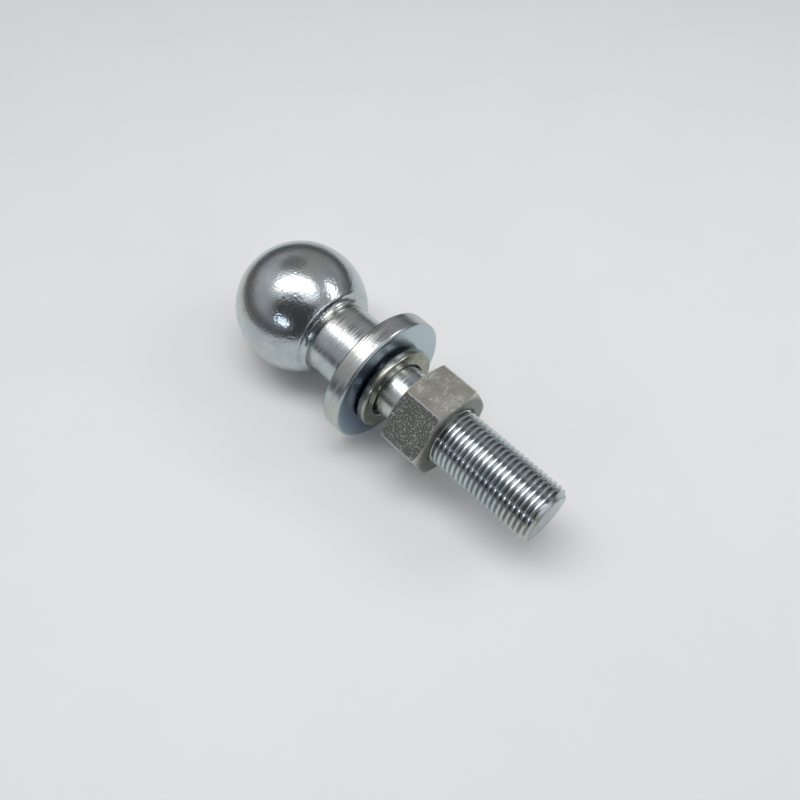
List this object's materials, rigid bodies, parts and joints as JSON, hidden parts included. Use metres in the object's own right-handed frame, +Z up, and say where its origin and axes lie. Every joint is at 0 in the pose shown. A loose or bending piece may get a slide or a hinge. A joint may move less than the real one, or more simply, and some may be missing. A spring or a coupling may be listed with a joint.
{
  "type": "threaded tow ball",
  "caption": "One-piece coupling ball with neck, collar and threaded shank, carrying a split spring washer and a hexagon nut.",
  "frame": {"origin": "centre of the collar's seat face, where the bracket goes", "axes": "+X along the shank to its threaded end, +Z up as the part lies on its ball and collar"},
  "size_m": [0.1458, 0.05, 0.05],
  "materials": {
    "zinc_plate": "bright zinc plate, satin",
    "washer_steel": "plain steel, dull olive grey",
    "nut_steel": "dull zinc plate, grainy"
  },
  "bodies": {
    "stud": {"tow_ball_stud": "zinc_plate"},
    "washer": {"spring_washer": "washer_steel"},
    "nut": {"hex_nut": "nut_steel"}
  },
  "joints": [
    {"name": "nut_turn", "type": "hinge", "parent": "stud", "child": "washer", "pos_m": [0, 0, 0], "axis": [1, 0, 0], "range_deg": [0, 10440]},
    {"name": "nut_travel", "type": "slide", "parent": "washer", "child": "nut", "axis": [1, 0, 0], "range_m": [0, 0.058]}
  ],
  "couplings": [
    {"joint": "nut_travel", "follows": "nut_turn", "m_per_rad": 0.00031831}
  ]
}
